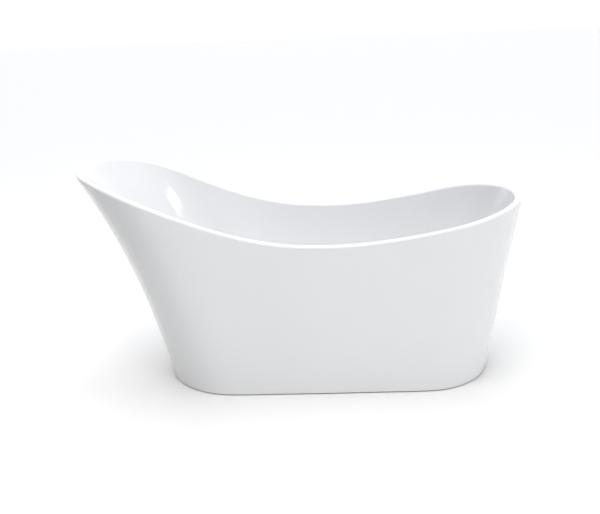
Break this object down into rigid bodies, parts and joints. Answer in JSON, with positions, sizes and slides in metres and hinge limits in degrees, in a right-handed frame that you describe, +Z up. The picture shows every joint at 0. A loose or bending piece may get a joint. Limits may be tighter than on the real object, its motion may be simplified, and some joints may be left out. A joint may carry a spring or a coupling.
{
  "type": "freestanding slipper bathtub",
  "caption": "Freestanding white acrylic slipper bath with one high flared backrest, a tapered skirt, a click waste and levelling feet.",
  "frame": {"origin": "on the floor, under the middle of the bath's overall length and width", "axes": "+X towards the low foot end with the waste, -X towards the high backrest; +Y to the bath's left side seen from the backrest; +Z up"},
  "size_m": [1.6996, 0.7899, 0.8312],
  "materials": {
    "acrylic_white": "high gloss white acrylic",
    "glass_fibre": "rough sprayed glass fibre and resin",
    "bond_adhesive": "cured adhesive, dull",
    "plywood": "resin-sealed plywood",
    "galvanised_steel": "galvanised, satin",
    "zinc_fixings": "zinc plated",
    "foot_pad": "matt black",
    "chrome": "polished chrome",
    "seal_rubber": "matt black rubber",
    "waste_plastic": "moulded white polypropylene",
    "spring_steel": "plain spring steel",
    "hose_grey": "flexible grey PVC"
  },
  "bodies": {
    "bath": {"inner_shell": "acrylic_white", "outer_skirt": "acrylic_white", "rim_bond_bead": "bond_adhesive", "glass_fibre_backing": "glass_fibre", "base_board": "plywood", "skirt_stiffening_ring": "plywood", "frame_rail_front": "galvanised_steel", "frame_rail_back": "galvanised_steel", "cross_bar_head": "galvanised_steel", "cross_bar_centre": "galvanised_steel", "cross_bar_foot": "galvanised_steel", "frame_screws": "zinc_fixings", "board_screws": "zinc_fixings", "ring_screws": "zinc_fixings", "foot_weld_nuts": "zinc_fixings", "foot_lock_nuts": "zinc_fixings", "waste_flange": "chrome", "waste_seal_top": "seal_rubber", "waste_seal_bottom": "seal_rubber", "waste_body": "waste_plastic", "click_cartridge": "chrome", "click_spring": "spring_steel", "overflow_cover": "chrome", "overflow_seal": "seal_rubber", "overflow_screw": "chrome", "overflow_body": "waste_plastic", "overflow_hose": "hose_grey", "hose_nut_top": "waste_plastic", "hose_nut_bottom": "waste_plastic"},
    "plug": {"plug_stem": "chrome", "plug_seal": "seal_rubber", "plug_cap": "chrome"},
    "foot_centre": {"levelling_stud_centre": "zinc_fixings", "levelling_pad_centre": "foot_pad"},
    "foot_head_front": {"levelling_stud_head_front": "zinc_fixings", "levelling_pad_head_front": "foot_pad"},
    "foot_head_back": {"levelling_stud_head_back": "zinc_fixings", "levelling_pad_head_back": "foot_pad"},
    "foot_foot_front": {"levelling_stud_foot_front": "zinc_fixings", "levelling_pad_foot_front": "foot_pad"},
    "foot_foot_back": {"levelling_stud_foot_back": "zinc_fixings", "levelling_pad_foot_back": "foot_pad"}
  },
  "joints": [
    {"name": "plug_travel", "type": "slide", "parent": "bath", "child": "plug", "axis": [0, 0, 1], "range_m": [0, 0.009], "deforming": ["click_spring"]},
    {"name": "foot_centre_height", "type": "slide", "parent": "bath", "child": "foot_centre", "axis": [0, 0, 1], "range_m": [-0.02, 0]},
    {"name": "foot_head_front_height", "type": "slide", "parent": "bath", "child": "foot_head_front", "axis": [0, 0, 1], "range_m": [-0.02, 0]},
    {"name": "foot_head_back_height", "type": "slide", "parent": "bath", "child": "foot_head_back", "axis": [0, 0, 1], "range_m": [-0.02, 0]},
    {"name": "foot_foot_front_height", "type": "slide", "parent": "bath", "child": "foot_foot_front", "axis": [0, 0, 1], "range_m": [-0.02, 0]},
    {"name": "foot_foot_back_height", "type": "slide", "parent": "bath", "child": "foot_foot_back", "axis": [0, 0, 1], "range_m": [-0.02, 0]}
  ]
}
